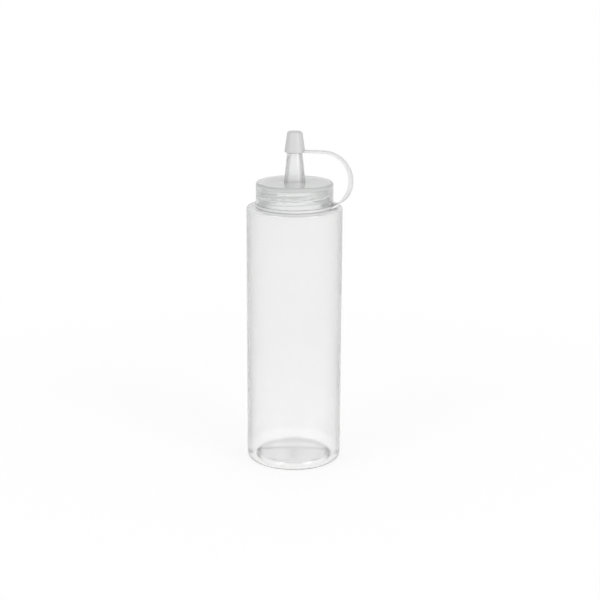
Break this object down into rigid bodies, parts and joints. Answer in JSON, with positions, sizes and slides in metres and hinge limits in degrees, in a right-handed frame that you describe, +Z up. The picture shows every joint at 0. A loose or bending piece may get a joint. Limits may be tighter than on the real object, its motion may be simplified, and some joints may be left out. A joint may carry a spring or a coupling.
{
  "type": "squeeze sauce bottle",
  "caption": "Round translucent squeeze bottle with a screw cap, cone nozzle and a tip cap on a curved tether strap that folds back to open the nozzle.",
  "frame": {"origin": "on the bottle's axis, in the plane that the bottle stands on", "axes": "+Z up along the bottle's axis, +X to the side that the strap leaves to, -Y towards the viewer of the picture"},
  "size_m": [0.0563, 0.051, 0.1796],
  "materials": {
    "bottle_plastic": "satin, translucent",
    "cap_plastic": "smooth, translucent",
    "nozzle_plastic": "smooth, translucent",
    "tether_plastic": "smooth, milky"
  },
  "bodies": {
    "bottle": {"bottle": "bottle_plastic"},
    "nozzle": {"nozzle": "nozzle_plastic"},
    "screw_cap": {"screw_cap": "cap_plastic"},
    "tether_ring": {"tether_ring": "tether_plastic", "strap_lower": "tether_plastic"},
    "tip_cap": {"tip_cap": "tether_plastic", "strap_upper": "tether_plastic"}
  },
  "joints": [
    {"name": "closure_rise", "type": "slide", "parent": "bottle", "child": "nozzle", "axis": [0, 0, 1], "range_m": [0, 0.0084]},
    {"name": "cap_turn", "type": "hinge", "parent": "nozzle", "child": "screw_cap", "pos_m": [0, 0, 0.152], "axis": [0, 0, 1], "range_deg": [0, 720]},
    {"name": "tether_swivel", "type": "hinge", "parent": "nozzle", "child": "tether_ring", "pos_m": [0, 0, 0.1406], "axis": [0, 0, 1], "continuous": true},
    {"name": "tip_flip", "type": "hinge", "parent": "tether_ring", "child": "tip_cap", "pos_m": [0.02286, -0.00486, 0.16775], "axis": [0.2079, 0.9781, 0], "range_deg": [0, 140]}
  ],
  "couplings": [
    {"joint": "closure_rise", "follows": "cap_turn", "m_per_rad": 0.00066845}
  ]
}
